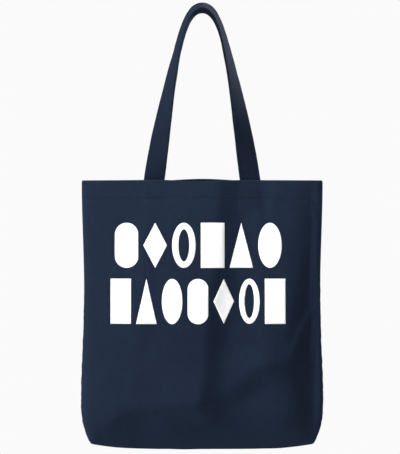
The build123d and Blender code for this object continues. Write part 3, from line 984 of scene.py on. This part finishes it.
def ink_material():
    """Matte white printing ink, with the weave and a few thin places showing through."""
    material = bpy.data.materials.new("white_ink")
    material.use_nodes = True
    tree = material.node_tree
    shader = tree.nodes["Principled BSDF"]
    shader.inputs["Roughness"].default_value = 0.6
    shader.inputs["Specular IOR Level"].default_value = 0.3
    place = tree.nodes.new("ShaderNodeTexCoord")
    noise = tree.nodes.new("ShaderNodeTexNoise")
    noise.inputs["Scale"].default_value = 900
    noise.inputs["Detail"].default_value = 3
    tree.links.new(place.outputs["Object"], noise.inputs["Vector"])
    ramp = tree.nodes.new("ShaderNodeValToRGB")
    ramp.color_ramp.elements[0].position = 0.2
    ramp.color_ramp.elements[0].color = (0.80, 0.81, 0.83, 1)
    ramp.color_ramp.elements[1].position = 0.5
    ramp.color_ramp.elements[1].color = (0.93, 0.93, 0.93, 1)
    tree.links.new(noise.outputs["Fac"], ramp.inputs[0])
    tree.links.new(ramp.outputs[0], shader.inputs["Base Color"])
    bump = tree.nodes.new("ShaderNodeBump")
    bump.inputs["Strength"].default_value = 0.35
    bump.inputs["Distance"].default_value = 0.08 * MM
    tree.links.new(noise.outputs["Fac"], bump.inputs["Height"])
    tree.links.new(bump.outputs[0], shader.inputs["Normal"])
    return material


def plain_material(name, colour, roughness):
    material = bpy.data.materials.new(name)
    material.use_nodes = True
    shader = material.node_tree.nodes["Principled BSDF"]
    shader.inputs["Base Color"].default_value = (*colour, 1)
    shader.inputs["Roughness"].default_value = roughness
    return material


# ---- build ----
shell_object, NUMBER = build_shell()
settle(shell_object)
straighten_seams(shell_object, NUMBER)
SEAM_POINTS = points_of(shell_object.data)
refine(shell_object, 2)
crumple(shell_object)

CANVAS_CLOTH = canvas_material("navy_canvas", NAVY, 0.75 * MM)
# the straps' canvas takes the darkened colour, which is painted shade
SHADED_STRAP_CLOTH = canvas_material("shaded_navy_strap_canvas", SHADED_STRAP_NAVY, 0.85 * MM, 0.6)
THREAD = thread_material()
INK_PAINT = ink_material()

shell_tree = BVHTree.FromObject(shell_object, bpy.context.evaluated_depsgraph_get())


def opens(obj):
    """Bakes the transform of a front-half piece into its mesh."""
    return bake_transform(obj)


def finish_piece(obj, material, slot, *nodes):
    obj.data.materials.clear()
    obj.data.materials.append(material)
    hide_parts(*nodes)
    return obj


for side, word in ((FRONT, "front"), (REAR, "rear")):
    panel = panel_from(shell_object, side, f"{word}_canvas")
    finish_piece(panel, CANVAS_CLOTH, "canvas", f"{word}_panel", f"{word}_hem")
    hem_line = stitch_mesh(f"{word}_hem_stitches", hem_rows(shell_tree, side))
    finish_piece(hem_line, THREAD, "thread", f"{word}_hem_stitching")
    boxes = stitch_mesh(f"{word}_box_stitches", box_rows(shell_tree, side))
    finish_piece(boxes, THREAD, "thread", f"{word}_handle_box_stitching")
    strap = build_strap(side, f"{word}_strap")
    finish_piece(strap, SHADED_STRAP_CLOTH, "strap_canvas", f"{word}_handle", f"{word}_handle_ends")
    rows = stitch_mesh(f"{word}_strap_stitches", handle_rows(side))
    finish_piece(rows, THREAD, "thread", f"{word}_handle_edge_stitching")
    for piece in (strap, rows):
        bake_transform(piece)
    if side == FRONT:
        ink = finish_piece(build_print(shell_tree), INK_PAINT, "print_ink", "front_print")
        for piece in (panel, hem_line, boxes, ink):
            opens(piece)
    else:
        for piece in (panel, hem_line, boxes):
            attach(piece, "rear_half")

for node_name, piece in build_seams(SEAM_POINTS, NUMBER).items():
    finish_piece(piece, CANVAS_CLOTH, "canvas", node_name)
    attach(piece, "rear_half")

bpy.data.objects.remove(shell_object)

# ---- studio ----
FLOOR_Z, FLOOR_REACH, FLOOR_SIDES = -1.3, 4.2, 96
turns = np.linspace(0, 2 * np.pi, FLOOR_SIDES + 1)[:-1]
rim = [(FLOOR_REACH * np.cos(t), FLOOR_REACH * np.sin(t), FLOOR_Z) for t in turns]
floor = new_object("floor", rim, [range(len(rim))], False)
floor.data.materials.append(plain_material("pale_floor", (0.8, 0.8, 0.79), 0.9))
floor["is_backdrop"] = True


def area_light(name, place, aim, size, power, colour=(1, 1, 1)):
    data = bpy.data.lights.new(name, "AREA")
    data.size, data.energy, data.color = size, power, colour
    light = bpy.data.objects.new(name, data)
    bpy.context.scene.collection.objects.link(light)
    light.location = place
    light.rotation_mode = "QUATERNION"
    light.rotation_quaternion = (Vector(aim) - Vector(place)).to_track_quat("-Z", "Y")
    return light


BAG_MIDDLE = (0, 0, -0.42)
area_light("key", (-1.85, -1.05, 1.2), BAG_MIDDLE, 0.9, 120)
area_light("front", (-0.5, -2.6, 0.8), BAG_MIDDLE, 1.6, 10)
area_light("back", (1.9, 1.5, 0.9), BAG_MIDDLE, 0.9, 110)
area_light("top", (0, 0, 1.9), BAG_MIDDLE, 3.0, 40)
spot = area_light("handles", (1.5, -1.2, 0.2), (0.05, 0, -0.12), 0.4, 0.26)
spot.data.spread = np.radians(16)

world = bpy.data.worlds.new("studio")
world.use_nodes = True
tree = world.node_tree
light = tree.nodes["Background"]
light.inputs["Color"].default_value = (0.96, 0.97, 1.0, 1)
light.inputs["Strength"].default_value = 0.2
white = tree.nodes.new("ShaderNodeBackground")
white.inputs["Color"].default_value = (0.955, 0.955, 0.955, 1)
path = tree.nodes.new("ShaderNodeLightPath")
mix = tree.nodes.new("ShaderNodeMixShader")
tree.links.new(path.outputs["Is Camera Ray"], mix.inputs[0])
tree.links.new(light.outputs[0], mix.inputs[1])
tree.links.new(white.outputs[0], mix.inputs[2])
tree.links.new(mix.outputs[0], tree.nodes["World Output"].inputs[0])
bpy.context.scene.world = world
bpy.context.scene.view_settings.view_transform = "Standard"

VIEW_WIDTH = 0.6265  # metres across the picture at the middle plane
PICTURE_SHAPE = 454 / 400  # height over width
CAMERA_DISTANCE = 2.6
CAMERA_X, CAMERA_Z = -0.0034, -0.3385
SENSOR = 36.0
camera_data = bpy.data.cameras.new("camera")
camera_data.sensor_fit = "AUTO"
camera_data.sensor_width = SENSOR
camera_data.lens = SENSOR * CAMERA_DISTANCE / (VIEW_WIDTH * PICTURE_SHAPE)
camera = bpy.data.objects.new("camera", camera_data)
bpy.context.scene.collection.objects.link(camera)
camera.location = (CAMERA_X, -CAMERA_DISTANCE, CAMERA_Z)
camera.rotation_euler = (np.pi / 2, 0, 0)
bpy.context.scene.camera = camera

boxes = [[list(corner) for corner in box] for box in (CAD_BOX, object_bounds())]
